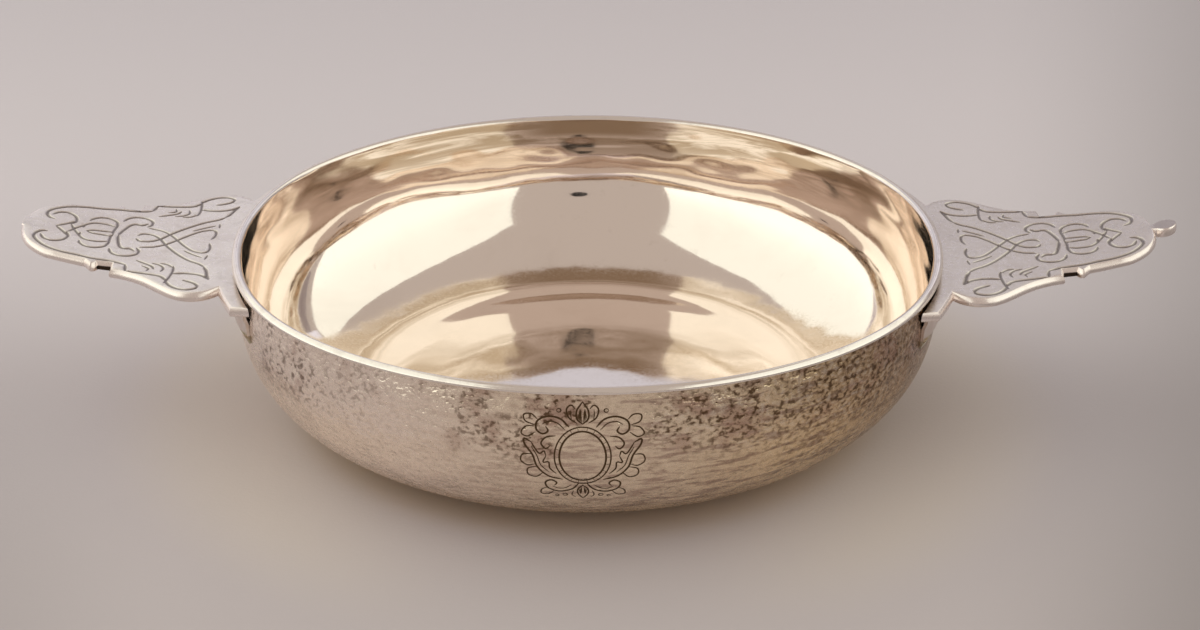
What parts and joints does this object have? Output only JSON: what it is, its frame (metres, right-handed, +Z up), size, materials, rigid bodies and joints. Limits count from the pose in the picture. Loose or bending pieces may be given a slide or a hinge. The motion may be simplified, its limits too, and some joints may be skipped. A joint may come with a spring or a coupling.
{
  "type": "two-eared porringer bowl",
  "caption": "Shallow silver ecuelle: a round raised bowl with a rim wire and two flat engraved ears.",
  "frame": {"origin": "centre of the flat base, on the surface that the bowl stands on", "axes": "+X from ear to ear, towards the ear with the knob; +Z up; the engraved cartouche faces -Y"},
  "size_m": [0.2918, 0.18, 0.0495],
  "materials": {
    "bowl_silver": "raised silver, polished and softly rippled inside, hammer-pitted and tarnished outside",
    "rim_silver": "bright worn silver wire",
    "ear_silver": "satin cast silver with engraved strapwork and bright cut edges",
    "flange_silver": "filed silver, slightly tarnished",
    "solder": "dull grey-green hard solder, left as it flowed"
  },
  "bodies": {
    "root": {"bowl": "bowl_silver", "rim_wire": "rim_silver", "ear_right": "ear_silver", "ear_left": "ear_silver", "ear_flange_right": "flange_silver", "ear_flange_left": "flange_silver", "ear_solder_right": "solder", "ear_solder_left": "solder"}
  },
  "joints": []
}
